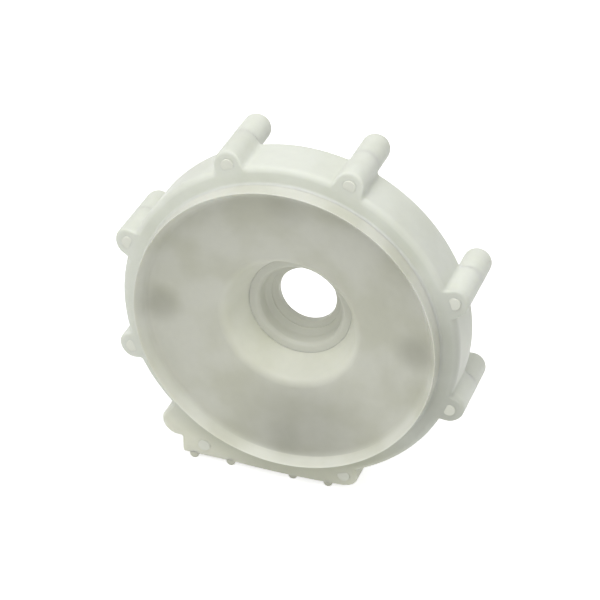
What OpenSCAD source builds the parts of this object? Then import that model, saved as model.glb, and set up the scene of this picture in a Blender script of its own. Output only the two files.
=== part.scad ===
// Pin-tooth spur gear: a dished wheel in a tooth ring, with round pins for teeth.
// The wheel turns on a flanged bush that stays on the shaft.
// The axis is +Y, the dished front faces -Y, and the ribs of the foot stand on the ground.
// The origin is on the axis, at the middle of the shaft bore.
// "Depth" below is measured along +Y from the plane where the dish meets its rim.

/* [Dish] */
// Radius of the dish at the foot of the rim
rim_r = 30.6; // [26:0.1:40]
// Height of the rim lip in front of the dish
lip_h = 2.85; // [2:0.05:4]
// Slope of the lip's inner face, from its foot out to its edge
lip_slope = 1.8; // [1.2:0.1:2.4]
// Thickness of the lip at its foot, up to the shoulder
lip_w = 2.15; // [1.9:0.05:3]
// Thickness of the web
web_t = 2.2; // [1.6:0.1:3]
// Fall of the web from the rim to the hub pocket
web_fall = 1.75; // [0.5:0.05:3]
// Radius of the rounding at the mouth of the hub pocket
mouth_fillet = 1.6; // [0.8:0.1:2.4]

/* [Tooth ring] */
// Width of the flat shoulder round the lip
shoulder_w = 3.55; // [3:0.05:5]
// Depth of the shoulder
shoulder_d = 0.75; // [0.5:0.05:1.5]
// Depth of the skirt's rear edge
skirt_d = 11.1; // [9:0.1:16]
// Thickness of the skirt wall
skirt_wall = 2; // [1.5:0.1:2.6]
// Rounding of the skirt's front corner
corner_r = 1.4; // [0.4:0.1:1.4]
// Thickness of the ledge that the dish seats on
ledge_t = 1.4; // [1:0.1:2]
// Width of the ledge under the dish
ledge_w = 1.8; // [1:0.1:3]

/* [Teeth] */
// Radius of a tooth pin
pin_r = 3; // [2:0.05:4]
// How far the pin centres stand outside the skirt
pin_out = 0.7; // [0:0.1:1]
// Angle between the two pins of a pair
pair_angle = 40; // [30:1:45]
// Depth of the front end of the pin bosses
boss_d = 1.5; // [1.2:0.1:3]
// How far a pin stands out behind the skirt
pin_overhang = 8.9; // [3:0.1:12]
// Rounding of a pin's free end
pin_round = 1.9; // [0.5:0.1:1.9]
// Radius of a pin's spigot, which is pressed through its boss
spigot_r = 1.35; // [0.8:0.05:1.6]
// How far the index pin is turned from its place in the pair
index_turn = -8.5; // [-12:0.5:0]
// How far the index pin is moved outwards
index_out = 2.4; // [2:0.1:4]
// Angle from the index pin to the nose of the index lug
nose_turn = -10.9; // [-14:0.1:-9]
// Distance of the nose of the index lug outwards from the index pin
nose_out = 0.7; // [0:0.1:2]
// Radius of the nose
nose_r = 3.6; // [2.5:0.1:4]

/* [Foot] */
// How far the foot stands below the skirt
foot_out = 1.6; // [1:0.1:3]
// How far the foot reaches past the index pin
foot_reach = 5.2; // [3:0.1:6]
// Rounding of the foot's free corner
foot_round = 0.6; // [0.5:0.1:2]
// Radius of the ribs under the foot
rib_r = 1; // [0.3:0.1:1.2]
// Places of the ribs, from the free end of the foot
rib_places = [2.6, 11, 25.1, 33]; // [1:0.1:36]

/* [Locking posts] */
// Radius of the locking posts behind the web
post_r = 2.2; // [1.5:0.1:3]
// Distance of the posts inwards from the foot of the rim
post_in = 3; // [2.8:0.1:4]
// Thickness of the lugs that the posts pass through
lug_t = 2; // [1.5:0.1:3]
// How far a post's head stands behind its lug
post_head = 0.8; // [0.4:0.1:1.5]

/* [Hub and bush] */
// Radius of the shaft bore
bore_r = 6.35; // [4:0.05:8]
// Length of the shaft bore
bore_len = 1.6; // [1.2:0.1:3]
// Depth of the bush flange's front face
pocket_d = 8.9; // [7:0.1:12]
// Length of the bush, from its flange's front face to its rear end
bush_len = 6.4; // [6.2:0.1:9]
// Step from the shaft bore out to the bush's inner wall
bush_step = 2.65; // [2.2:0.05:4]
// Wall of the bush's barrel
bush_wall = 0.9; // [0.8:0.05:2]
// Width of the bush's flange
flange_w = 1.15; // [0.8:0.05:2]
// Thickness of the bush's flange
flange_t = 1.2; // [0.8:0.1:2]
// Taper of the hub pocket, from the flange out to its mouth
pocket_taper = 3.3; // [2:0.1:5]
// Wall of the hub pocket
hub_wall = 1.8; // [1.4:0.1:3]
// Thickness of the retaining ring
clip_t = 0.8; // [0.5:0.05:1]
// How far the retaining ring stands out round the bush
clip_w = 1.6; // [1:0.1:2.5]
// Depth of the retaining ring's groove in the bush
groove = 0.4; // [0.2:0.05:0.5]
// Opening of the retaining ring
clip_gap = 6; // [3:0.5:9]

/* [Fits] */
// Radial clearance of the bush in the hub
run_fit = 0.05; // [0.02:0.01:0.1]
// End clearance of the bush on each side of the hub
end_fit = 0.15; // [0.05:0.01:0.3]
// Gap round the bush's flange and round parts that don't bear
free_gap = 0.15; // [0.1:0.05:0.6]
// Radial clearance of pressed and staked pieces
press_gap = 0.02; // [0.01:0.01:0.05]

/* [Hidden] */
PAIRS = 4;
PINS = 2 * PAIRS;
INDEX_PIN = 6;
FOOT_PIN = 7;
FINE = 128;
SMALL = 48;
EPS = 0.01;

milky = [0.87, 0.88, 0.83];
pale = [0.92, 0.93, 0.89];
bush_white = [0.90, 0.90, 0.86];
spring_steel = [0.62, 0.63, 0.65];

// Radii that follow from the sizes above
dish_r = rim_r + lip_w;
ring_r = dish_r + shoulder_w;
skirt_in_r = ring_r - skirt_wall;
pitch_r = ring_r + pin_out;
post_pitch_r = rim_r - post_in;
bush_in_r = bore_r + bush_step;
bush_r = bush_in_r + bush_wall;
flange_r = bush_r + flange_w;
pocket_r = flange_r + free_gap;
mouth_r = pocket_r + pocket_taper;
hub_r = pocket_r + hub_wall;
groove_r = bush_r - groove;

// Depths that follow from the sizes above
rim_plane_y = -(pocket_d + bush_len - bore_len / 2);
dish_back_d = web_t + shoulder_d;
hub_ledge_d = pocket_d + flange_t + end_fit;
groove_d = pocket_d + bush_len - groove - clip_t;
hub_end_d = groove_d - end_fit;
lug_d = dish_back_d + ledge_t;
bush_end_d = pocket_d + bush_len;
pin_end_d = skirt_d + pin_overhang;

// Angle of each pin round the axis, from +X towards +Z
function pin_angle(i) =
    90 * floor((i - 1) / 2) + ((i % 2 == 1) ? pair_angle / 2 : 90 - pair_angle / 2)
    + (i == INDEX_PIN ? index_turn : 0);
function pin_pitch(i) = pitch_r + (i == INDEX_PIN ? index_out : 0);
nose_angle = pin_angle(INDEX_PIN) + nose_turn;
nose_pitch = pin_pitch(INDEX_PIN) + nose_out;

// The foot runs level from beside the index pin to the next pin
foot_z = -(ring_r + foot_out);
foot_x0 = pin_pitch(INDEX_PIN) * cos(pin_angle(INDEX_PIN)) - foot_reach;
foot_x1 = pin_pitch(FOOT_PIN) * cos(pin_angle(FOOT_PIN));

// A solid of revolution about the axis, from a profile of radius and depth
module spin(fn = FINE) {
    translate([0, rim_plane_y, 0]) rotate([-90, 0, 0]) rotate_extrude($fn = fn) children();
}

// Something drawn along +Z, set along the axis at an angle, a radius and a depth
module set_at(angle, radius, depth = 0) {
    translate([radius * cos(angle), rim_plane_y + depth, radius * sin(angle)])
        rotate([-90, 0, 0]) children();
}

// A profile of radius and depth between two corners
module band(r0, d0, r1, d1) {
    translate([r0, d0]) square([r1 - r0, d1 - d0]);
}

// The pocket's mouth is an arc that meets the web's front and the tapered wall
mouth_lean = atan2(pocket_taper, pocket_d - web_fall);
mouth_arc_r = mouth_r + mouth_fillet * (1 - sin(mouth_lean)) / cos(mouth_lean);
MOUTH_STEPS = 8;
function mouth_point(k) =
    let (angle = 180 + mouth_lean + k / MOUTH_STEPS * (90 - mouth_lean))
    [mouth_arc_r + mouth_fillet * cos(angle), web_fall + mouth_fillet * (1 + sin(angle))];

// The web, the rim lip, the tapered hub pocket and the tube that runs on the bush
module dish_profile() {
    polygon([
        [rim_r, 0],
        [rim_r + lip_slope, -lip_h],
        [dish_r, shoulder_d],
        [dish_r, dish_back_d],
        [dish_r - ledge_w - post_r, dish_back_d],
        [rim_r - ledge_w - post_r, web_t],
        [mouth_r + hub_wall, web_fall + web_t],
        [hub_r, pocket_d],
        [hub_r, hub_end_d],
        [bush_r + run_fit, hub_end_d],
        [bush_r + run_fit, hub_ledge_d],
        [pocket_r, hub_ledge_d],
        [pocket_r, pocket_d],
        for (k = [0 : MOUTH_STEPS]) mouth_point(k)
    ]);
}

module dish() {
    color(milky) {
        spin() dish_profile();
        for (q = [0 : PAIRS - 1]) locking_post(90 * q);
    }
}

// A post behind the web, staked over its lug in the tooth ring
module locking_post(angle) {
    post_end = lug_d + lug_t + post_head;
    set_at(angle, post_pitch_r, web_t - EPS)
        cylinder(r = post_r, h = lug_d + lug_t - web_t + 2 * EPS, $fn = SMALL);
    set_at(angle, post_pitch_r, lug_d + lug_t)
        cylinder(r1 = post_r + post_head / 2, r2 = post_r, h = post_head, $fn = SMALL);
}

// The shoulder, the skirt and the ledge that carries the dish
module ring_profile() {
    bore = dish_r + press_gap;
    difference() {
        band(bore, shoulder_d, ring_r, dish_back_d + ledge_t);
        band(ring_r - corner_r, shoulder_d - 1, ring_r + 1, shoulder_d + corner_r);
    }
    translate([ring_r - corner_r, shoulder_d + corner_r]) circle(r = corner_r, $fn = SMALL);
    band(skirt_in_r, dish_back_d, ring_r, skirt_d);
    band(dish_r - ledge_w, dish_back_d, skirt_in_r + EPS, dish_back_d + ledge_t);
}

module tooth_ring() {
    color(milky) difference() {
        union() {
            spin() ring_profile();
            for (i = [1 : PINS]) pin_boss(i);
            index_lug();
            foot();
            for (q = [0 : PAIRS - 1]) post_lug(90 * q);
        }
        for (i = [1 : PINS])
            set_at(pin_angle(i), pin_pitch(i), boss_d - 1)
                cylinder(r = spigot_r + press_gap, h = skirt_d - boss_d + 2, $fn = SMALL);
        for (q = [0 : PAIRS - 1])
            set_at(90 * q, post_pitch_r, dish_back_d)
                cylinder(r = post_r + press_gap, h = ledge_t + lug_t + 2, $fn = SMALL);
    }
}

// The boss that holds a pin, outside the skirt's inner face
module pin_boss(i) {
    difference() {
        set_at(pin_angle(i), pin_pitch(i), boss_d)
            cylinder(r = pin_r, h = skirt_d - boss_d, $fn = SMALL);
        set_at(0, 0, boss_d - 1) cylinder(r = skirt_in_r, h = skirt_d, $fn = FINE);
    }
}

// The lug that joins the index pin's boss to the skirt, with a rounded nose beside it
module index_lug() {
    a0 = nose_angle;
    a1 = pin_angle(INDEX_PIN);
    foot_r = skirt_in_r + skirt_wall / 2;
    nose_d = boss_d + nose_r;
    intersection() {
        translate([0, rim_plane_y + skirt_d, 0]) rotate([90, 0, 0])
            linear_extrude(skirt_d - nose_d) polygon([
                [foot_r * cos(a0 - 4), foot_r * sin(a0 - 4)],
                [2 * nose_pitch * cos(a0), 2 * nose_pitch * sin(a0)],
                [2 * nose_pitch * cos(a1), 2 * nose_pitch * sin(a1)],
                [foot_r * cos(a1 + 4), foot_r * sin(a1 + 4)]
            ]);
        set_at(0, 0, 0) cylinder(r = nose_pitch, h = skirt_d, $fn = FINE);
    }
    set_at(a0, nose_pitch, nose_d) cylinder(r = nose_r, h = skirt_d - nose_d, $fn = SMALL);
    set_at(a0, nose_pitch, nose_d) sphere(r = nose_r, $fn = SMALL);
}

// The foot under the skirt, with its ribs along the axis
module foot() {
    difference() {
        translate([0, rim_plane_y + skirt_d, 0]) rotate([90, 0, 0]) linear_extrude(skirt_d - boss_d) {
            translate([foot_x0 + foot_round, foot_z])
                square([foot_x1 - foot_x0 - foot_round, ring_r / 2]);
            translate([foot_x0, foot_z + foot_round]) square([2 * foot_round, ring_r / 2]);
            translate([foot_x0 + foot_round, foot_z + foot_round]) circle(r = foot_round, $fn = SMALL);
        }
        set_at(0, 0, boss_d - 1) cylinder(r = skirt_in_r + skirt_wall / 2, h = skirt_d, $fn = FINE);
    }
    for (place = rib_places)
        translate([foot_x0 + place, rim_plane_y + boss_d, foot_z])
            rotate([-90, 0, 0]) cylinder(r = rib_r, h = skirt_d - boss_d, $fn = SMALL);
}

// A round-ended lug inside the ring, behind the web, that a locking post passes through
module post_lug(angle) {
    lug_end_r = post_r + 1.5;
    tail = skirt_in_r + skirt_wall / 2 - post_pitch_r;
    set_at(angle, post_pitch_r, lug_d) cylinder(r = lug_end_r, h = lug_t, $fn = SMALL);
    rotate([0, -angle, 0]) intersection() {
        union() {
            translate([post_pitch_r, rim_plane_y + lug_d, -lug_end_r]) cube([tail + 1, lug_t, 2 * lug_end_r]);
            translate([dish_r - ledge_w, rim_plane_y + dish_back_d, -lug_end_r])
                cube([tail, ledge_t + lug_t, 2 * lug_end_r]);
        }
        set_at(0, 0, 0) cylinder(r = skirt_in_r + skirt_wall / 2, h = skirt_d, $fn = FINE);
    }
}

// A stepped pin: the spigot goes through the boss and the tooth stands behind it
module tooth_pin(i) {
    color(pale) set_at(pin_angle(i), pin_pitch(i)) {
        translate([0, 0, boss_d - 0.1])
            cylinder(r = spigot_r, h = skirt_d - boss_d + 0.2, $fn = SMALL);
        rotate_extrude($fn = SMALL) {
            band(0, skirt_d, pin_r, pin_end_d - pin_round);
            band(0, pin_end_d - pin_round - EPS, pin_r - pin_round, pin_end_d);
            translate([pin_r - pin_round, pin_end_d - pin_round]) intersection() {
                circle(r = pin_round, $fn = SMALL);
                square(pin_round);
            }
        }
    }
}

// The bush: a flange in the pocket, a stepped barrel and the shaft bore in its end wall
module shaft_bush() {
    lead = 0.6;
    cone_mouth_r = bore_r + 1.3;
    bore_d = bush_end_d - bore_len;
    color(bush_white) spin() difference() {
        polygon([
            [bush_in_r + lead, pocket_d],
            [flange_r, pocket_d],
            [flange_r, pocket_d + flange_t],
            [bush_r, pocket_d + flange_t],
            [bush_r, bush_end_d - 0.3],
            [bush_r - 0.3, bush_end_d],
            [bore_r, bush_end_d],
            [bore_r, bore_d],
            [cone_mouth_r, bore_d - 0.6],
            [cone_mouth_r, bore_d - 0.9],
            [bush_in_r, bore_d - 1.8],
            [bush_in_r, pocket_d + lead]
        ]);
        band(groove_r, groove_d, bush_r + 1, groove_d + clip_t);
    }
}

// An open ring in the bush's groove, behind the hub tube
module retaining_ring() {
    color(spring_steel) difference() {
        spin() band(groove_r + press_gap, groove_d + press_gap, bush_r + clip_w, groove_d + clip_t - press_gap);
        translate([-clip_gap / 2, rim_plane_y + groove_d - 1, 0])
            cube([clip_gap, clip_t + 2, bush_r + clip_w + 1]);
    }
}

dish();
tooth_ring();
for (i = [1 : PINS])
    tooth_pin(i);
shaft_bush();
retaining_ring();
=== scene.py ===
# %% [markdown]
# # A dished wheel with pins for teeth, in milky plastic
# This lesson dresses a finished CAD model of a small pin-tooth gear. The CAD sets every size and place.
# Blender adds what a moulded part shows: rounded edges, soft roots where the bosses grow out of the skirt,
# and a cloudy plastic that lets some light through.
# We start by loading the CAD model, and we keep its box.

# %% Load the CAD frame
import math
import bpy
import bmesh
from mathutils import Matrix, Vector


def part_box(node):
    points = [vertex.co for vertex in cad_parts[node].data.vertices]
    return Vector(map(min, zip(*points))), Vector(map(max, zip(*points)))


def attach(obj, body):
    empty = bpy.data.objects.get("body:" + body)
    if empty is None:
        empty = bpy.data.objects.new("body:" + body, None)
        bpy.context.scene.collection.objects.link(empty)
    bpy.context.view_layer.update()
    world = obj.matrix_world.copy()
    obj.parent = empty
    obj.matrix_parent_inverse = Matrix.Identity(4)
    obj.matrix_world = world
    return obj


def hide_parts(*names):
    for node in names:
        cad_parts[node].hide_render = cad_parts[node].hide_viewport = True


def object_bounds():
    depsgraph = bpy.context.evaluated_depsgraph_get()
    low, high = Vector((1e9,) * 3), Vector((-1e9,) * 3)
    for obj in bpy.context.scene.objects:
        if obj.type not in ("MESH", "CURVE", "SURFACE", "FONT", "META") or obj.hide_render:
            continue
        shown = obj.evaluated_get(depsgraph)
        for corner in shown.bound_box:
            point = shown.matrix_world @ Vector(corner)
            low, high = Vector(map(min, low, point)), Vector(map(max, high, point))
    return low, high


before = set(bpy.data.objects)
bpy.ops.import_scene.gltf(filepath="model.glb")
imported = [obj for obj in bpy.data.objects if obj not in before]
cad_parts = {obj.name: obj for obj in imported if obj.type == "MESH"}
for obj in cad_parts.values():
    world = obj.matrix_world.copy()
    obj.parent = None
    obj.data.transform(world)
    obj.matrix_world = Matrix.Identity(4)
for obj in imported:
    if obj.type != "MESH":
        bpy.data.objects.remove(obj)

cad_box = [list(corner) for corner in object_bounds()]
print("CAD box in mm:", [[round(1000 * x, 2) for x in corner] for corner in cad_box])

# %% [markdown]
# Every piece here is round about an axis along +Y, so its shape is a section: a list of radius and depth.
# Depth is counted along +Y from the plane where the web meets the rim lip. We read that plane from the
# dish's own box, so that the skins stay on the CAD pieces if their sizes change.

# %% The plane that depths start from
MM = 0.001
LIP = 2.85
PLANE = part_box("dish")[0][1] / MM + LIP
GROUND = cad_box[0][2]
print("depth 0 is at y =", round(PLANE, 3), "mm, and the ground at z =", round(GROUND / MM, 3), "mm")

# %% [markdown]
# A moulded edge is never sharp. The easiest way to round a section is to draw it as one flat face and bevel
# its corners before it is turned: a vertex bevel with a profile of 0.5 makes true arcs. Each corner below
# is (radius, depth, rounding), where the rounding is how far along both edges the arc starts.


# %% A helper that draws a rounded section
def draw_section(corners, across=0.0, up=0.0):
    bm = bmesh.new()
    points = [bm.verts.new(((across + r) * MM, (PLANE + d) * MM, up * MM)) for r, d, size in corners]
    bm.faces.new(points)
    for size in sorted({corner[2] for corner in corners if corner[2]}):
        chosen = [p for p, corner in zip(points, corners) if corner[2] == size]
        bmesh.ops.bevel(bm, geom=chosen, offset=size * MM, offset_type="OFFSET", segments=6,
                        profile=0.5, affect="VERTICES", material=-1, clamp_overlap=True)
    bmesh.ops.delete(bm, geom=bm.faces[:], context="FACES_ONLY")
    return bm


# %% [markdown]
# Spin turns the section round its axis. A full turn needs use_merge, or the first and last rows stay apart.
# A section that touches the axis, such as a pin's, must lose the edge that lies on it, because it would
# spin into nothing. Turning can leave the faces pointing inwards, so they are made to point outwards last.


# %% A helper that turns a section into a piece
def turn(bm, steps, across=0.0, up=0.0):
    def off_axis(v):
        return math.hypot(v.co.x - across * MM, v.co.z - up * MM)
    on_axis = [e for e in bm.edges if max(off_axis(v) for v in e.verts) < 1e-7]
    bmesh.ops.delete(bm, geom=on_axis, context="EDGES")
    bmesh.ops.spin(bm, geom=bm.verts[:] + bm.edges[:], cent=(across * MM, 0, up * MM), axis=(0, 1, 0),
                   angle=2 * math.pi, steps=steps, use_merge=True)
    bmesh.ops.remove_doubles(bm, verts=bm.verts[:], dist=1e-6)
    bmesh.ops.recalc_face_normals(bm, faces=bm.faces[:])
    return bm


# %% [markdown]
# The last helper turns a bmesh into an object that rides on its CAD body and stands for its CAD node.
# Faces are smooth, edges sharper than 50 degrees stay crisp, and a Weighted Normal modifier keeps the wide
# flat faces flat right up to their small roundings. A piece may have a second material for some faces.


# %% A helper that finishes a piece
def finish_piece(bm, name, body, node, slot, *materials):
    for face in bm.faces:
        face.smooth = True
    for edge in bm.edges:
        edge.smooth = not (len(edge.link_faces) == 2 and edge.calc_face_angle(0) > math.radians(50))
    mesh = bpy.data.meshes.new(name)
    bm.to_mesh(mesh)
    bm.free()
    piece = bpy.data.objects.new(name, mesh)
    bpy.context.scene.collection.objects.link(piece)
    for material in materials:
        mesh.materials.append(material)
    weighted = piece.modifiers.new("even_shading", "WEIGHTED_NORMAL")
    weighted.keep_sharp = True
    weighted.weight = 60
    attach(piece, body)
    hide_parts(node)
    print(name, "has", len(mesh.polygons), "faces, stands for", node, "and rides on", body)
    return piece


# %% [markdown]
# ## The plastic
# Natural plastic is milky: light goes in, scatters and comes out again a few millimetres away. The thick
# places look dull and the thin ones glow. Its colour isn't even either, because the melt cools in clouds.
# A node group makes the parts of that look which all the pieces share: clouds some 10 mm across, a fine
# mottle, and the height of the slightly grained mould skin. The shader itself stays in each material.


# %% Colours as they are seen, turned into linear light
def seen(red, green, blue):
    def linear(v):
        v = v / 255
        return v / 12.92 if v <= 0.04045 else ((v + 0.055) / 1.055) ** 2.4
    return (linear(red), linear(green), linear(blue), 1.0)


def link(tree, source, target):
    tree.links.new(source, target)


# %% The node group for cloudy moulded plastic
cloudy = bpy.data.node_groups.new("cloudy_moulding", "ShaderNodeTree")
for title, kind, value in (
        ("Vector", "NodeSocketVector", None), ("Clear Colour", "NodeSocketColor", None),
        ("Cloud Colour", "NodeSocketColor", None), ("Cloud Share", "NodeSocketFloat", 0.5),
        ("Smooth Roughness", "NodeSocketFloat", 0.4), ("Dull Roughness", "NodeSocketFloat", 0.5)):
    socket = cloudy.interface.new_socket(title, in_out="INPUT", socket_type=kind)
    if value is not None:
        socket.default_value = value
for title, kind in (("Colour", "NodeSocketColor"), ("Roughness", "NodeSocketFloat"),
                    ("Height", "NodeSocketFloat")):
    cloudy.interface.new_socket(title, in_out="OUTPUT", socket_type=kind)

inside = cloudy.nodes
group_in = inside.new("NodeGroupInput")
group_out = inside.new("NodeGroupOutput")
clouds = inside.new("ShaderNodeTexNoise")
clouds.inputs["Scale"].default_value = 75
clouds.inputs["Detail"].default_value = 3
clouds.inputs["Roughness"].default_value = 0.45
mottle = inside.new("ShaderNodeTexNoise")
mottle.inputs["Scale"].default_value = 620
mottle.inputs["Detail"].default_value = 2
skin = inside.new("ShaderNodeTexNoise")
skin.inputs["Scale"].default_value = 3200
skin.inputs["Detail"].default_value = 2
for noise in (clouds, mottle, skin):
    link(cloudy, group_in.outputs["Vector"], noise.inputs["Vector"])

cloud_mask = inside.new("ShaderNodeMapRange")
cloud_mask.interpolation_type = "SMOOTHSTEP"
cloud_mask.inputs["From Min"].default_value = 0.38
cloud_mask.inputs["From Max"].default_value = 0.66
link(cloudy, clouds.outputs["Fac"], cloud_mask.inputs["Value"])
share = inside.new("ShaderNodeMath")
share.operation = "MULTIPLY"
link(cloudy, cloud_mask.outputs["Result"], share.inputs[0])
link(cloudy, group_in.outputs["Cloud Share"], share.inputs[1])
print("the cloud mask scales by", share.operation)

# %% The group's colour, roughness and height
blend = inside.new("ShaderNodeMix")
blend.data_type = "RGBA"
link(cloudy, share.outputs[0], blend.inputs["Factor"])
link(cloudy, group_in.outputs["Clear Colour"], blend.inputs["A"])
link(cloudy, group_in.outputs["Cloud Colour"], blend.inputs["B"])
fine = inside.new("ShaderNodeMapRange")
fine.inputs["To Min"].default_value = 0.97
fine.inputs["To Max"].default_value = 1.03
link(cloudy, mottle.outputs["Fac"], fine.inputs["Value"])
tinted = inside.new("ShaderNodeVectorMath")
tinted.operation = "SCALE"
link(cloudy, blend.outputs["Result"], tinted.inputs[0])
link(cloudy, fine.outputs["Result"], tinted.inputs["Scale"])
link(cloudy, tinted.outputs["Vector"], group_out.inputs["Colour"])

dull = inside.new("ShaderNodeMix")
dull.data_type = "FLOAT"
link(cloudy, mottle.outputs["Fac"], dull.inputs["Factor"])
link(cloudy, group_in.outputs["Smooth Roughness"], dull.inputs["A"])
link(cloudy, group_in.outputs["Dull Roughness"], dull.inputs["B"])
link(cloudy, dull.outputs["Result"], group_out.inputs["Roughness"])
relief = inside.new("ShaderNodeMath")
relief.operation = "MULTIPLY_ADD"
relief.inputs[1].default_value = 0.4
link(cloudy, skin.outputs["Fac"], relief.inputs[0])
link(cloudy, mottle.outputs["Fac"], relief.inputs[2])
link(cloudy, relief.outputs[0], group_out.inputs["Height"])
print(cloudy.name, "has", len(inside), "nodes")


# %% [markdown]
# Each plastic places that group with its own colours. Subsurface light is set on the shader's own sockets:
# the weight says how much of the colour is scattered, and the radius how far red, green and blue travel.
# The bump is very faint, because a satin mould skin only breaks up the highlights.


# %% A helper that makes one of the plastics
def plastic(name, clear, cloud, share_of_clouds, roughness, depth_mm, weight):
    material = bpy.data.materials.new(name)
    material.use_nodes = True
    tree = material.node_tree
    shader = tree.nodes["Principled BSDF"]
    coords = tree.nodes.new("ShaderNodeTexCoord")
    group = tree.nodes.new("ShaderNodeGroup")
    group.node_tree = cloudy
    group.name = "moulding"
    group.inputs["Clear Colour"].default_value = clear
    group.inputs["Cloud Colour"].default_value = cloud
    group.inputs["Cloud Share"].default_value = share_of_clouds
    group.inputs["Smooth Roughness"].default_value = roughness
    group.inputs["Dull Roughness"].default_value = roughness + 0.12
    bump = tree.nodes.new("ShaderNodeBump")
    bump.inputs["Strength"].default_value = 0.25
    bump.inputs["Distance"].default_value = 0.00008
    link(tree, coords.outputs["Object"], group.inputs["Vector"])
    link(tree, group.outputs["Colour"], shader.inputs["Base Color"])
    link(tree, group.outputs["Roughness"], shader.inputs["Roughness"])
    link(tree, group.outputs["Height"], bump.inputs["Height"])
    link(tree, bump.outputs["Normal"], shader.inputs["Normal"])
    shader.inputs["IOR"].default_value = 1.5
    shader.inputs["Specular IOR Level"].default_value = 0.4
    shader.inputs["Subsurface Weight"].default_value = weight
    shader.inputs["Subsurface Scale"].default_value = depth_mm * MM
    shader.inputs["Subsurface Radius"].default_value = (1.0, 1.0, 0.9)
    print(name, "scatters light over", depth_mm, "mm")
    return material


# %% The four finishes
ring_milk = plastic("milky_ring_plastic", seen(228, 231, 221), seen(216, 219, 206), 0.6, 0.42, 0.8, 0.8)
dish_milk = plastic("milky_dish_plastic", seen(214, 215, 203), seen(200, 201, 184), 0.8, 0.42, 0.6, 0.8)
pin_milk = plastic("milky_pin_plastic", seen(229, 232, 221), seen(219, 222, 209), 0.5, 0.4, 0.8, 0.8)
bush_milk = plastic("bush_plastic", seen(218, 219, 208), seen(208, 209, 196), 0.5, 0.34, 0.5, 0.8)

# %% [markdown]
# Scattered light that comes out inside a neighbour is lost, so a small detail that is sunk into another solid
# turns dark. The posts, the ribs and the ends of the spigots get the same plastic without scattering.

# %% The finishes for small sunk details
ring_skin = plastic("ring_plastic_surface", seen(214, 215, 199), seen(203, 204, 186), 0.6, 0.42, 0.1, 0.0)
dish_skin = plastic("dish_plastic_surface", seen(216, 217, 205), seen(203, 204, 188), 0.6, 0.42, 0.1, 0.0)
pin_skin = plastic("pin_plastic_surface", seen(233, 235, 223), seen(224, 226, 212), 0.5, 0.4, 0.1, 0.0)

# %% [markdown]
# The dish's colour carries painted light and shade. The web is thin, so the dark hollow behind it dims it,
# and that shade is painted into the colour. The hub pocket and the lip are thick and stay pale, so they get a
# painted brightening. The radius from the axis gives a ramp of these tones.

# %% Painted shade on the web, painted light on the pocket and the lip
tree = dish_milk.node_tree
coords = next(node for node in tree.nodes if node.type == "TEX_COORD")
moulding = tree.nodes["moulding"]
flat = tree.nodes.new("ShaderNodeVectorMath")
flat.operation = "MULTIPLY"
flat.inputs[1].default_value = (1, 0, 1)
link(tree, coords.outputs["Object"], flat.inputs[0])
radius = tree.nodes.new("ShaderNodeVectorMath")
radius.operation = "LENGTH"
link(tree, flat.outputs["Vector"], radius.inputs[0])
# A ramp of painted light and shade by radius: stops above 1 brighten the pocket and the lip, and the web
# stays dim
painted_light_ramp = tree.nodes.new("ShaderNodeValToRGB")
scaled = tree.nodes.new("ShaderNodeMath")
scaled.operation = "DIVIDE"
scaled.inputs[1].default_value = 33 * MM
link(tree, radius.outputs["Value"], scaled.inputs[0])
link(tree, scaled.outputs[0], painted_light_ramp.inputs["Fac"])
ramp = painted_light_ramp.color_ramp
ramp.elements[0].position, ramp.elements[0].color = 14.0 / 33, (1.22, 1.22, 1.23, 1)
ramp.elements[1].position, ramp.elements[1].color = 31.4 / 33, (1.08, 1.08, 1.11, 1)
for place, level in ((15.6, 1.01), (22.0, 0.98), (29.0, 0.96), (30.5, 0.97)):
    element = ramp.elements.new(place / 33)
    element.color = (level, level, level, 1)
print("the dish's tone has", len(ramp.elements), "stops")

# %% [markdown]
# The lower part of the web is dimmer again. This mask stands in for the way the light falls here, so it is
# fixed to the wheel and turns with it. Under another light it should be taken out.

# %% The lower part of the web is dimmer
WEB_DIM = 0.78
below = tree.nodes.new("ShaderNodeVectorMath")
below.operation = "DISTANCE"
below.inputs[1].default_value = (4 * MM, -15 * MM, -26 * MM)
link(tree, coords.outputs["Object"], below.inputs[0])
dim = tree.nodes.new("ShaderNodeMapRange")
dim.interpolation_type = "SMOOTHSTEP"
dim.inputs["From Min"].default_value = 2 * MM
dim.inputs["From Max"].default_value = 22 * MM
dim.inputs["To Min"].default_value = WEB_DIM
dim.inputs["To Max"].default_value = 1.0
link(tree, below.outputs["Value"], dim.inputs["Value"])
inner = tree.nodes.new("ShaderNodeMapRange")
inner.inputs["From Min"].default_value = 30.3 * MM
inner.inputs["From Max"].default_value = 31.0 * MM
link(tree, radius.outputs["Value"], inner.inputs["Value"])
keep = tree.nodes.new("ShaderNodeMath")
keep.operation = "MAXIMUM"
link(tree, dim.outputs["Result"], keep.inputs[0])
link(tree, inner.outputs["Result"], keep.inputs[1])
# The ramp's painted light and shade is multiplied into the plastic's colour here
painted_light_colour = tree.nodes.new("ShaderNodeMix")
painted_light_colour.data_type = "RGBA"
painted_light_colour.blend_type = "MULTIPLY"
painted_light_colour.inputs["Factor"].default_value = 1.0
link(tree, moulding.outputs["Colour"], painted_light_colour.inputs["A"])
link(tree, painted_light_ramp.outputs["Color"], painted_light_colour.inputs["B"])
dimmed = tree.nodes.new("ShaderNodeVectorMath")
dimmed.operation = "SCALE"
link(tree, painted_light_colour.outputs["Result"], dimmed.inputs[0])
link(tree, keep.outputs[0], dimmed.inputs["Scale"])
print("the web is dimmed down to", WEB_DIM, "at its lowest part")
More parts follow.
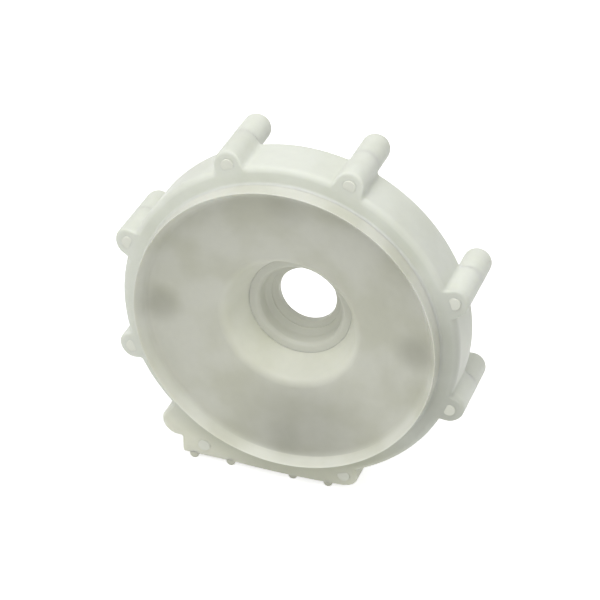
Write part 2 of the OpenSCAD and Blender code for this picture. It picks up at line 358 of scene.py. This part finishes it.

# %% [markdown]
# Four locking posts stand behind the web. The web is thin enough to glow a little, and it doesn't where a
# post is behind it, so soft dark spots show through on the front. They are painted shade in the dish's
# colour, fixed to the wheel. The posts sit a quarter turn apart, so we fold the plane into one eighth with
# absolute, maximum and minimum, and measure from one post only.

# %% The shade of the posts, seen through the web
POST_PITCH, SPOT_REACH = 27.6, 6.0
split = tree.nodes.new("ShaderNodeSeparateXYZ")
link(tree, coords.outputs["Object"], split.inputs["Vector"])
sides = []
for axis in ("X", "Z"):
    size = tree.nodes.new("ShaderNodeMath")
    size.operation = "ABSOLUTE"
    link(tree, split.outputs[axis], size.inputs[0])
    sides.append(size)
folded = tree.nodes.new("ShaderNodeCombineXYZ")
for operation, target in (("MAXIMUM", "X"), ("MINIMUM", "Y")):
    pick = tree.nodes.new("ShaderNodeMath")
    pick.operation = operation
    link(tree, sides[0].outputs[0], pick.inputs[0])
    link(tree, sides[1].outputs[0], pick.inputs[1])
    link(tree, pick.outputs[0], folded.inputs[target])
away = tree.nodes.new("ShaderNodeVectorMath")
away.operation = "DISTANCE"
away.inputs[1].default_value = (POST_PITCH * MM, 0, 0)
link(tree, folded.outputs["Vector"], away.inputs[0])
shade = tree.nodes.new("ShaderNodeMapRange")
shade.interpolation_type = "SMOOTHSTEP"
shade.inputs["From Min"].default_value = 1.0 * MM
shade.inputs["From Max"].default_value = SPOT_REACH * MM
shade.inputs["To Min"].default_value = 0.34
shade.inputs["To Max"].default_value = 0.0
link(tree, away.outputs["Value"], shade.inputs["Value"])
print("post shade reaches", SPOT_REACH, "mm from each post's axis")

# %% [markdown]
# The spots are plainest at the left and right, and they belong on the web's front only. So two more masks,
# one by the distance sideways and one by the depth, are multiplied into the shade.

# %% Weaker spots above and below, and none behind the web
sideways = tree.nodes.new("ShaderNodeMapRange")
sideways.inputs["From Min"].default_value = 5.0 * MM
sideways.inputs["From Max"].default_value = 20.0 * MM
sideways.inputs["To Min"].default_value = 0.4
link(tree, sides[0].outputs[0], sideways.inputs["Value"])
front = tree.nodes.new("ShaderNodeMapRange")
front.inputs["From Min"].default_value = (PLANE + 2.4) * MM
front.inputs["From Max"].default_value = (PLANE + 2.8) * MM
front.inputs["To Min"].default_value = 1.0
front.inputs["To Max"].default_value = 0.0
link(tree, split.outputs["Y"], front.inputs["Value"])
shade_here = shade
for mask in (sideways, front):
    product = tree.nodes.new("ShaderNodeMath")
    product.operation = "MULTIPLY"
    link(tree, shade_here.outputs[0], product.inputs[0])
    link(tree, mask.outputs["Result"], product.inputs[1])
    shade_here = product
# The dark colour mixed in here is the painted shade of the posts
spots = tree.nodes.new("ShaderNodeMix")
spots.data_type = "RGBA"
spots.blend_type = "MULTIPLY"
spots.inputs["B"].default_value = seen(150, 150, 132)
link(tree, shade_here.outputs[0], spots.inputs["Factor"])
link(tree, dimmed.outputs["Vector"], spots.inputs["A"])
link(tree, spots.outputs["Result"], tree.nodes["Principled BSDF"].inputs["Base Color"])
print("the spots are mixed into the colour by", spots.blend_type)

# %% [markdown]
# Low on the ring the light comes from the ground and through the plastic, so it is warmer there. Close under
# the lip it is dimmer too, and it brightens outwards to the edge of the foot. Height and radius give both.
# Like the next mask, this one stands in for the light, so it turns with the wheel.

# %% The warmer, dimmer plastic low on the ring
tree = ring_milk.node_tree
coords = next(node for node in tree.nodes if node.type == "TEX_COORD")
moulding = tree.nodes["moulding"]
parts = tree.nodes.new("ShaderNodeSeparateXYZ")
link(tree, coords.outputs["Object"], parts.inputs["Vector"])
low = tree.nodes.new("ShaderNodeMapRange")
low.interpolation_type = "SMOOTHSTEP"
low.inputs["From Min"].default_value = -32 * MM
low.inputs["From Max"].default_value = -20 * MM
low.inputs["To Min"].default_value = 1.0
low.inputs["To Max"].default_value = 0.0
link(tree, parts.outputs["Z"], low.inputs["Value"])
flat = tree.nodes.new("ShaderNodeVectorMath")
flat.operation = "MULTIPLY"
flat.inputs[1].default_value = (1, 0, 1)
link(tree, coords.outputs["Object"], flat.inputs[0])
radius = tree.nodes.new("ShaderNodeVectorMath")
radius.operation = "LENGTH"
link(tree, flat.outputs["Vector"], radius.inputs[0])
outwards = tree.nodes.new("ShaderNodeMapRange")
outwards.inputs["From Min"].default_value = 34.5 * MM
outwards.inputs["From Max"].default_value = 39.5 * MM
link(tree, radius.outputs["Value"], outwards.inputs["Value"])
warm = tree.nodes.new("ShaderNodeMix")
warm.data_type = "RGBA"
warm.inputs["A"].default_value = (0.78, 0.775, 0.70, 1)
warm.inputs["B"].default_value = (1.05, 1.03, 0.97, 1)
link(tree, outwards.outputs["Result"], warm.inputs["Factor"])
warmed = tree.nodes.new("ShaderNodeMix")
warmed.data_type = "RGBA"
warmed.blend_type = "MULTIPLY"
link(tree, low.outputs["Result"], warmed.inputs["Factor"])
link(tree, moulding.outputs["Colour"], warmed.inputs["A"])
link(tree, warm.outputs["Result"], warmed.inputs["B"])
print("the ring's tone changes between z = -20 and z = -32 mm")

# %% [markdown]
# On the right the lip shades the shoulder, while the skirt behind it looks brighter. One mask says how near
# a point is to that side, and the depth turns the change from darker at the front to brighter behind.

# %% The shaded shoulder on the right
SHOULDER_SHADE = 0.20
near_right = tree.nodes.new("ShaderNodeVectorMath")
near_right.operation = "DISTANCE"
near_right.inputs[1].default_value = (33 * MM, PLANE * MM, -6 * MM)
link(tree, coords.outputs["Object"], near_right.inputs[0])
beside = tree.nodes.new("ShaderNodeMapRange")
beside.interpolation_type = "SMOOTHSTEP"
beside.inputs["From Min"].default_value = 8 * MM
beside.inputs["From Max"].default_value = 30 * MM
beside.inputs["To Min"].default_value = 1.0
beside.inputs["To Max"].default_value = 0.0
link(tree, near_right.outputs["Value"], beside.inputs["Value"])
change = tree.nodes.new("ShaderNodeMapRange")
change.inputs["From Min"].default_value = (PLANE + 1.2) * MM
change.inputs["From Max"].default_value = (PLANE + 3.0) * MM
change.inputs["To Min"].default_value = -SHOULDER_SHADE
change.inputs["To Max"].default_value = 0.08
link(tree, parts.outputs["Y"], change.inputs["Value"])
level = tree.nodes.new("ShaderNodeMath")
level.operation = "MULTIPLY_ADD"
level.inputs[2].default_value = 1.0
link(tree, beside.outputs["Result"], level.inputs[0])
link(tree, change.outputs["Result"], level.inputs[1])
shaded = tree.nodes.new("ShaderNodeVectorMath")
shaded.operation = "SCALE"
link(tree, warmed.outputs["Result"], shaded.inputs[0])
link(tree, level.outputs[0], shaded.inputs["Scale"])
link(tree, shaded.outputs["Vector"], tree.nodes["Principled BSDF"].inputs["Base Color"])
print("the shoulder on the right is darker by up to", SHOULDER_SHADE)

# %% [markdown]
# The retaining ring is spring steel. Its CAD shape is right as it is, so only its finish is new: a fine noise
# that varies its grey and its roughness.

# %% Spring steel for the retaining ring
steel = bpy.data.materials.new("spring_steel")
steel.use_nodes = True
tree = steel.node_tree
shader = tree.nodes["Principled BSDF"]
shader.inputs["Metallic"].default_value = 1.0
coords = tree.nodes.new("ShaderNodeTexCoord")
marks = tree.nodes.new("ShaderNodeTexNoise")
marks.inputs["Scale"].default_value = 900
marks.inputs["Detail"].default_value = 3
link(tree, coords.outputs["Object"], marks.inputs["Vector"])
tone = tree.nodes.new("ShaderNodeMix")
tone.data_type = "RGBA"
tone.inputs["A"].default_value = seen(150, 152, 156)
tone.inputs["B"].default_value = seen(188, 190, 194)
link(tree, marks.outputs["Fac"], tone.inputs["Factor"])
link(tree, tone.outputs["Result"], shader.inputs["Base Color"])
rough = tree.nodes.new("ShaderNodeMapRange")
rough.inputs["To Min"].default_value = 0.25
rough.inputs["To Max"].default_value = 0.5
link(tree, marks.outputs["Fac"], rough.inputs["Value"])
link(tree, rough.outputs["Result"], shader.inputs["Roughness"])
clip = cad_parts["retaining_ring"]
clip.data.materials.clear()
clip.data.materials.append(steel)
print("the retaining ring keeps its CAD mesh and is now", steel.name)

# %% [markdown]
# ## The dish
# The dish is one turned shape: a rim lip whose inner face leans outwards, a thin web that falls towards the
# middle, and a tapered pocket that ends in a short tube. The corner list follows the CAD section, and the
# long web is cut into rows so that its shading stays even.

# %% Turn the dish
dish = draw_section([
    (30.6, 0.0, 0.7), (32.38, -2.82, 0.32), (32.75, 0.75, 0.0), (32.75, 2.95, 0.0),
    (28.75, 2.95, 0.5), (26.6, 2.2, 0.5), (16.3, 3.95, 1.2), (13.0, 8.9, 0.8),
    (13.0, 13.95, 0.3), (9.95, 13.95, 0.3), (9.95, 10.25, 0.0), (11.2, 10.25, 0.0),
    (11.2, 8.9, 0.0), (14.5, 1.9, 1.3)])
long_edges = [e for e in dish.edges if e.calc_length() > 6 * MM]
bmesh.ops.subdivide_edges(dish, edges=long_edges, cuts=9)
turn(dish, 360)
print("the dish has", len(dish.faces), "faces")

# %% [markdown]
# Each locking post is a short rod with a spread head, like a rivet made from the plastic itself. A circle
# is extruded in three steps: the rod, the flare of the head, and its flat end with a rounded edge.


# %% Add the four locking posts
def add_post(bm, angle):
    place = Matrix.Rotation(-math.radians(angle), 4, "Y") @ Matrix.Translation((POST_PITCH * MM, 0, 0))
    lie = Matrix.Rotation(-math.pi / 2, 4, "X")
    ring = bmesh.ops.create_circle(bm, cap_ends=True, radius=2.2 * MM, segments=32, matrix=lie)["verts"]
    cap = ring[0].link_faces[0]
    bmesh.ops.translate(bm, verts=ring, vec=(0, (PLANE + 2.6) * MM, 0))
    made = list(ring)
    for depth, radius in ((6.4, 2.2), (6.45, 2.6), (6.8, 2.5), (7.05, 2.3), (7.15, 1.9)):
        grown = bmesh.ops.extrude_face_region(bm, geom=[cap])["geom"]
        cap = next(g for g in grown if isinstance(g, bmesh.types.BMFace))
        level = [g for g in grown if isinstance(g, bmesh.types.BMVert)]
        for v in level:
            flat = Vector((v.co.x, 0, v.co.z)).normalized() * radius * MM
            v.co = (flat.x, (PLANE + depth) * MM, flat.z)
        made += level
    bmesh.ops.transform(bm, matrix=place, verts=made)
    for face in {f for v in made for f in v.link_faces}:
        face.material_index = 1


for quarter in range(4):
    add_post(dish, 90 * quarter)
bmesh.ops.recalc_face_normals(dish, faces=dish.faces[:])
finish_piece(dish, "dish_shell", "wheel", "dish", "milky_plastic", dish_milk, dish_skin)

# %% [markdown]
# ## The tooth ring
# The ring is a flat shoulder, a skirt, bosses that swell out of the skirt's outer face, and a level foot.
# Separate rods pushed into the skirt would meet it in hard lines, but a moulded boss has a soft root. So the
# ring is turned with a fine net of faces on its outer wall, and then each point of that wall is moved out to
# where the ray from the axis meets a boss or the foot. A small arc joins boss and skirt.

# %% Where the pins, the nose and the foot stand
SKIRT = 36.3
PIN = 3.0
pins = [(20, 37.0), (70, 37.0), (110, 37.0), (160, 37.0),
        (200, 37.0), (241.5, 39.4), (290, 37.0), (340, 37.0)]
NOSE, NOSE_R = (230.6, 40.1), 3.6
NOSE_START, NOSE_RISE, PAD = 1.3, 1.8, 4.4
FOOT_LEFT, FOOT_RIGHT, FOOT_LEVEL = -24.0, 12.65, -37.9
print(len(pins), "pins in pairs, with the sixth one turned and set further out")


# %% A helper for the outline of one boss
def boss_reach(theta, centre, pitch, radius, root=0.8):
    turned = abs((theta - centre + 180) % 360 - 180)
    if turned > 20:
        return SKIRT
    a = math.radians(turned)
    side = pitch * math.sin(a)
    if side < radius:
        return pitch * math.cos(a) + math.sqrt(radius ** 2 - side ** 2)
    ring = SKIRT + root
    cosine = (ring ** 2 + pitch ** 2 - (radius + root) ** 2) / (2 * ring * pitch)
    meet = math.acos(max(-1.0, min(1.0, cosine)))
    if a < meet:
        gap = ring * math.sin(meet - a)
        return ring * math.cos(meet - a) - math.sqrt(max(root ** 2 - gap ** 2, 0))
    return SKIRT


# %% A helper for the foot
def foot_reach(theta):
    c, s = math.cos(math.radians(theta)), math.sin(math.radians(theta))
    reach = FOOT_LEVEL / s
    if reach * c > FOOT_RIGHT:
        return SKIRT
    return min(reach, FOOT_LEFT / c) if c < 0 else reach


def wall_reach(theta, depth):
    reach = max(boss_reach(theta, centre, pitch, PIN) for centre, pitch in pins)
    rise = min(1.0, max(0.0, (depth - NOSE_START) / NOSE_RISE))
    nose = boss_reach(theta, *NOSE, NOSE_R) - SKIRT
    reach = max(reach, SKIRT + nose * math.sqrt(1 - (1 - rise) ** 2))
    if NOSE[0] < theta < pins[5][0]:
        reach = max(reach, SKIRT + PAD * math.sqrt(1 - (1 - rise) ** 2))
    if 225 < theta < 315:
        reach = max(reach, foot_reach(theta))
    return reach


print("over pin 1 the wall stands", round(wall_reach(20, 5) - SKIRT, 2), "mm out of the skirt")

# %% Turn the ring, with a fine net on its outer wall
FRONT, CORNER, BACK = 0.75, 1.4, 11.1
ring = draw_section([
    (32.6, 0.1, 0.0), (33.0, 0.75, 0.3), (SKIRT - CORNER, FRONT, 0.0), (SKIRT, FRONT + CORNER, 0.0),
    (SKIRT, BACK, 0.0), (34.3, BACK, 0.25), (34.3, 4.35, 0.6), (30.95, 4.35, 0.3), (30.95, 2.95, 0.0),
    (32.6, 2.95, 0.0)])


def span(bm, low, high):
    return [e for e in bm.edges if all(v.co.x > (SKIRT - CORNER - 0.01) * MM for v in e.verts)
            and all(low - 0.01 <= v.co.y / MM - PLANE <= high + 0.01 for v in e.verts)]


bmesh.ops.subdivide_edges(ring, edges=span(ring, FRONT, FRONT + CORNER), cuts=17)
bmesh.ops.subdivide_edges(ring, edges=span(ring, FRONT + CORNER, BACK), cuts=26)
turn(ring, 900)
print("the plain ring has", len(ring.faces), "faces")

# %% [markdown]
# In a section through a boss, the front runs from the shoulder straight out to the boss's rounded edge.
# Beside the bosses the straight part has no length, and the same rule gives the skirt's rounded corner.
# So one rule shapes the whole front, and a boss grows out of the shoulder with no line between them.


# %% A helper for the front of the wall, from the shoulder (0) to the end of its rounding (1)
FINER_EDGE, FRONT_SLOPE, BOSS_HEIGHT = 0.8, 0.2, 3.7


def front_point(share, reach):
    height = reach - SKIRT
    edge = CORNER - FINER_EDGE * min(1.0, height)
    straight = reach - edge - (SKIRT - CORNER)
    slope = FRONT_SLOPE * min(height, BOSS_HEIGHT)
    along = share * (straight + math.pi / 2 * edge)
    if along < straight:
        return SKIRT - CORNER + along, FRONT + slope * along / straight
    turned = (along - straight) / edge
    return reach - edge + edge * math.sin(turned), FRONT + slope + edge * (1 - math.cos(turned))


# %% Move the outer wall out to the bosses, the nose and the foot
soft = []
for v in ring.verts:
    radius = math.hypot(v.co.x, v.co.z) / MM
    depth = v.co.y / MM - PLANE
    if radius < SKIRT - CORNER + 0.001:
        continue
    theta = math.degrees(math.atan2(v.co.z, v.co.x)) % 360
    if radius < SKIRT - 0.001 or depth < FRONT + CORNER + 0.001:
        share = (radius - SKIRT + CORNER) / CORNER
        new_radius, new_depth = front_point(share, wall_reach(theta, FRONT + CORNER))
    else:
        start = front_point(1.0, wall_reach(theta, FRONT + CORNER))[1]
        share = (depth - FRONT - CORNER) / (BACK - FRONT - CORNER)
        new_depth = start + share * (BACK - start)
        new_radius = wall_reach(theta, new_depth)
    v.co = (v.co.x * new_radius / radius, (PLANE + new_depth) * MM, v.co.z * new_radius / radius)
    if new_depth < BACK - 0.01 and new_radius > SKIRT + 0.01:
        soft.append(v)
for _ in range(2):
    bmesh.ops.smooth_vert(ring, verts=soft, factor=0.5, use_axis_x=True, use_axis_y=True, use_axis_z=True)
bmesh.ops.recalc_face_normals(ring, faces=ring.faces[:])
print(len(soft), "points of the wall now belong to bosses and foot")

# %% [markdown]
# Four small ribs run under the foot, and the wheel stands on them. Each is a rod whose front end is
# scaled down in two steps, so that it is rounded, and only its lower half shows. It stops just short of the
# foot's rear face, because two faces in one plane would flicker.

# %% Add the ribs under the foot
RIB_R, RIB_START, RIB_SHORT = 1.0, 1.8, 0.08


def add_rib(bm, place):
    centre = Vector((place * MM, 0, FOOT_LEVEL * MM))
    front = centre + Vector((0, (PLANE + RIB_START) * MM, 0))
    lie = Matrix.Translation(front) @ Matrix.Rotation(math.pi / 2, 4, "X")
    end = bmesh.ops.create_circle(bm, cap_ends=True, radius=RIB_R * MM, segments=24, matrix=lie)["verts"]
    back_cap = bmesh.ops.extrude_face_region(bm, geom=[end[0].link_faces[0]])["geom"]
    bmesh.ops.translate(bm, verts=[g for g in back_cap if isinstance(g, bmesh.types.BMVert)],
                        vec=(0, (BACK - RIB_START - RIB_SHORT) * MM, 0))
    cap = min((f for v in end for f in v.link_faces), key=lambda f: f.calc_center_median().y)
    for step, size in ((0.15, 0.93), (0.13, 0.8)):
        grown = bmesh.ops.extrude_face_region(bm, geom=[cap])["geom"]
        level = [g for g in grown if isinstance(g, bmesh.types.BMVert)]
        bmesh.ops.translate(bm, verts=level, vec=(0, -step * MM, 0))
        bmesh.ops.scale(bm, verts=level, vec=(size, 1, size), space=Matrix.Translation(-centre))
        cap = next(g for g in grown if isinstance(g, bmesh.types.BMFace))
        for face in {f for v in end + level for f in v.link_faces}:
            face.material_index = 1


for place in (2.6, 11.0, 25.1, 33.0):
    add_rib(ring, FOOT_LEFT + place)
print("the foot stands on 4 ribs")

# %% [markdown]
# Inside the ring, four round-ended lugs reach in behind the web, and the locking posts pass through them.
# A lug starts as a circle. Its outer half is pushed out to the skirt, which makes a tongue, and the tongue
# is extruded to its thickness and given a small bevel.


# %% Add the four lugs for the locking posts
def add_lug(bm, angle):
    place = Matrix.Rotation(-math.radians(angle), 4, "Y") @ Matrix.Translation((POST_PITCH * MM, 0, 0))
    lie = Matrix.Rotation(-math.pi / 2, 4, "X")
    tongue = bmesh.ops.create_circle(bm, cap_ends=True, radius=3.7 * MM, segments=48, matrix=lie)["verts"]
    base = tongue[0].link_faces[0]
    outer = [v for v in tongue if v.co.x > 0.01 * MM]
    bmesh.ops.translate(bm, verts=tongue, vec=(0, (PLANE + 4.3) * MM, 0))
    for v in outer:
        v.co.x = (math.sqrt(34.8 ** 2 - (v.co.z / MM) ** 2) - POST_PITCH) * MM
    grown = bmesh.ops.extrude_face_region(bm, geom=[base])["geom"]
    level = [g for g in grown if isinstance(g, bmesh.types.BMVert)]
    bmesh.ops.translate(bm, verts=level, vec=(0, 2.05 * MM, 0))
    rim = [e for e in next(g for g in grown if isinstance(g, bmesh.types.BMFace)).edges]
    made = list({v for v in tongue + level})
    bmesh.ops.transform(bm, matrix=place, verts=made)
    bmesh.ops.bevel(bm, geom=rim, offset=0.3 * MM, offset_type="OFFSET", segments=3, profile=0.5,
                    affect="EDGES", material=-1, clamp_overlap=True)


for quarter in range(4):
    add_lug(ring, 90 * quarter)
bmesh.ops.recalc_face_normals(ring, faces=ring.faces[:])
finish_piece(ring, "tooth_ring_shell", "wheel", "tooth_ring", "milky_plastic", ring_milk, ring_skin)

# %% [markdown]
# ## The pins
# A pin is turned too: a thin spigot that goes through the boss and shows as a small disc in its front, and
# the thick round tooth behind the skirt with its domed end. The section touches the pin's own axis, and the
# helper removes the edge that lies on it.


# %% Turn the eight pins
def make_pin(number, angle, pitch):
    across = pitch * math.cos(math.radians(angle))
    up = pitch * math.sin(math.radians(angle))
    section = draw_section([
        (0.0, 0.98, 0.0), (1.35, 0.98, 0.15), (1.35, 11.1, 0.0), (3.0, 11.1, 0.0),
        (3.0, 20.0, 1.9), (0.0, 20.0, 0.0)], across, up)
    turn(section, 64, across, up)
    for face in section.faces:
        if face.calc_center_median().y < (PLANE + BACK) * MM:
            face.material_index = 1
    node = "tooth_pin_" + str(number)
    return finish_piece(section, node + "_shell", "wheel", node, "pin_plastic", pin_milk, pin_skin)


for number, (angle, pitch) in enumerate(pins, start=1):
    make_pin(number, angle, pitch)

# %% [markdown]
# ## The bush
# The bush stays on the shaft while the wheel turns. It has a flange in the pocket, a barrel in the hub
# tube, a cone that leads down to the shaft hole, and a groove for the retaining ring.

# %% Turn the bush
bush = draw_section([
    (9.6, 8.9, 0.25), (11.18, 8.9, 0.0), (11.18, 10.1, 0.1), (9.9, 10.1, 0.0),
    (9.9, 14.08, 0.0), (9.5, 14.12, 0.0), (9.5, 14.88, 0.0), (9.9, 14.92, 0.0),
    (9.9, 15.3, 0.25), (6.35, 15.3, 0.2), (6.35, 13.7, 0.2), (7.65, 13.1, 0.15),
    (7.65, 12.8, 0.1), (9.0, 11.9, 0.3), (9.0, 9.5, 0.2)])
turn(bush, 256)
finish_piece(bush, "shaft_bush_shell", "bush", "shaft_bush", "bush_plastic", bush_milk)

# %% [markdown]
# ## Floor, light and camera
# The floor is a wide pale sheet that the ribs of the foot stand on. It is a plain diffuse white that keeps
# a trace of the wheel's shadow. Camera, glossy and transmission rays also see a share of even white on it,
# so that it reads as a clean bright ground without any more light on the wheel.


# %% A helper for rays that see the background
def background_rays(tree):
    paths = tree.nodes.new("ShaderNodeLightPath")
    first = tree.nodes.new("ShaderNodeMath")
    first.operation = "MAXIMUM"
    second = tree.nodes.new("ShaderNodeMath")
    second.operation = "MAXIMUM"
    link(tree, paths.outputs["Is Camera Ray"], first.inputs[0])
    link(tree, paths.outputs["Is Glossy Ray"], first.inputs[1])
    link(tree, first.outputs[0], second.inputs[0])
    link(tree, paths.outputs["Is Transmission Ray"], second.inputs[1])
    return second.outputs[0]


# %% The floor
sheet = bmesh.new()
bmesh.ops.create_grid(sheet, x_segments=8, y_segments=8, size=3.0)
bmesh.ops.translate(sheet, verts=sheet.verts[:], vec=(0, 0, GROUND))
floor_mesh = bpy.data.meshes.new("floor")
sheet.to_mesh(floor_mesh)
sheet.free()
floor = bpy.data.objects.new("floor", floor_mesh)
bpy.context.scene.collection.objects.link(floor)
white = bpy.data.materials.new("floor_white")
white.use_nodes = True
tree = white.node_tree
paint = tree.nodes["Principled BSDF"]
paint.inputs["Base Color"].default_value = (0.8, 0.8, 0.8, 1)
paint.inputs["Roughness"].default_value = 0.9
paint.inputs["Specular IOR Level"].default_value = 0.0
glow = tree.nodes.new("ShaderNodeEmission")
glow.inputs["Color"].default_value = (1, 1, 1, 1)
dimmer = tree.nodes.new("ShaderNodeMath")
dimmer.operation = "MULTIPLY"
dimmer.inputs[1].default_value = 0.72
link(tree, background_rays(tree), dimmer.inputs[0])
link(tree, dimmer.outputs[0], glow.inputs["Strength"])
both = tree.nodes.new("ShaderNodeAddShader")
link(tree, paint.outputs["BSDF"], both.inputs[0])
link(tree, glow.outputs["Emission"], both.inputs[1])
link(tree, both.outputs["Shader"], tree.nodes["Material Output"].inputs["Surface"])
floor_mesh.materials.append(white)
print("the floor lies at z =", round(GROUND / MM, 2), "mm")

# %% The world
world = bpy.data.worlds.new("studio")
bpy.context.scene.world = world
world.use_nodes = True
tree = world.node_tree
ambient = tree.nodes["Background"]
ambient.inputs["Color"].default_value = (1.0, 1.0, 1.0, 1)
ambient.inputs["Strength"].default_value = 0.5
seen_white = tree.nodes.new("ShaderNodeBackground")
seen_white.inputs["Color"].default_value = (1, 1, 1, 1)
seen_white.inputs["Strength"].default_value = 1.0
choose = tree.nodes.new("ShaderNodeMixShader")
link(tree, background_rays(tree), choose.inputs["Fac"])
link(tree, ambient.outputs["Background"], choose.inputs[1])
link(tree, seen_white.outputs["Background"], choose.inputs[2])
link(tree, choose.outputs["Shader"], tree.nodes["World Output"].inputs["Surface"])


# %% A helper for soft lamps
def soft_lamp(name, place_mm, aim_mm, side_mm, watts):
    data = bpy.data.lights.new(name, "AREA")
    data.shape = "DISK"
    data.size = side_mm * MM
    data.energy = watts
    lamp = bpy.data.objects.new(name, data)
    bpy.context.scene.collection.objects.link(lamp)
    lamp.location = Vector(place_mm) * MM
    lamp.rotation_euler = (Vector(aim_mm) - Vector(place_mm)).to_track_quat("-Z", "Y").to_euler()
    print(name, "stands", round((Vector(aim_mm) - Vector(place_mm)).length), "mm away")
    return lamp


# %% The lamps
soft_lamp("overhead", (-60, -215, 610), (0, 0, 0), 500, 2.5)

# %% [markdown]
# The camera looks at the wheel from the front, a little from the right and from above, through a long lens.
# It is placed on a ray from a point near the middle of the dish, so turning or raising it is one number.

# %% The camera
AIM = Vector((3.14, PLANE, 7.52)) * MM
AZIMUTH, ELEVATION, ROLL, DISTANCE = 19.27, 32.29, -0.35, 453.15
a, e = math.radians(AZIMUTH), math.radians(ELEVATION)
back = Vector((math.sin(a) * math.cos(e), -math.cos(a) * math.cos(e), math.sin(e)))
lens = bpy.data.cameras.new("camera")
lens.sensor_width = 36
lens.lens = 135.2
lens.clip_start = 0.01
camera = bpy.data.objects.new("camera", lens)
bpy.context.scene.collection.objects.link(camera)
camera.location = AIM + back * DISTANCE * MM
look = (-back).to_track_quat("-Z", "Y").to_matrix()
camera.rotation_euler = (Matrix.Rotation(math.radians(ROLL), 3, -back) @ look).to_euler()
bpy.context.scene.camera = camera
bpy.context.scene.view_settings.view_transform = "Standard"
print("the camera stands at", [round(x / MM, 1) for x in camera.location], "mm")
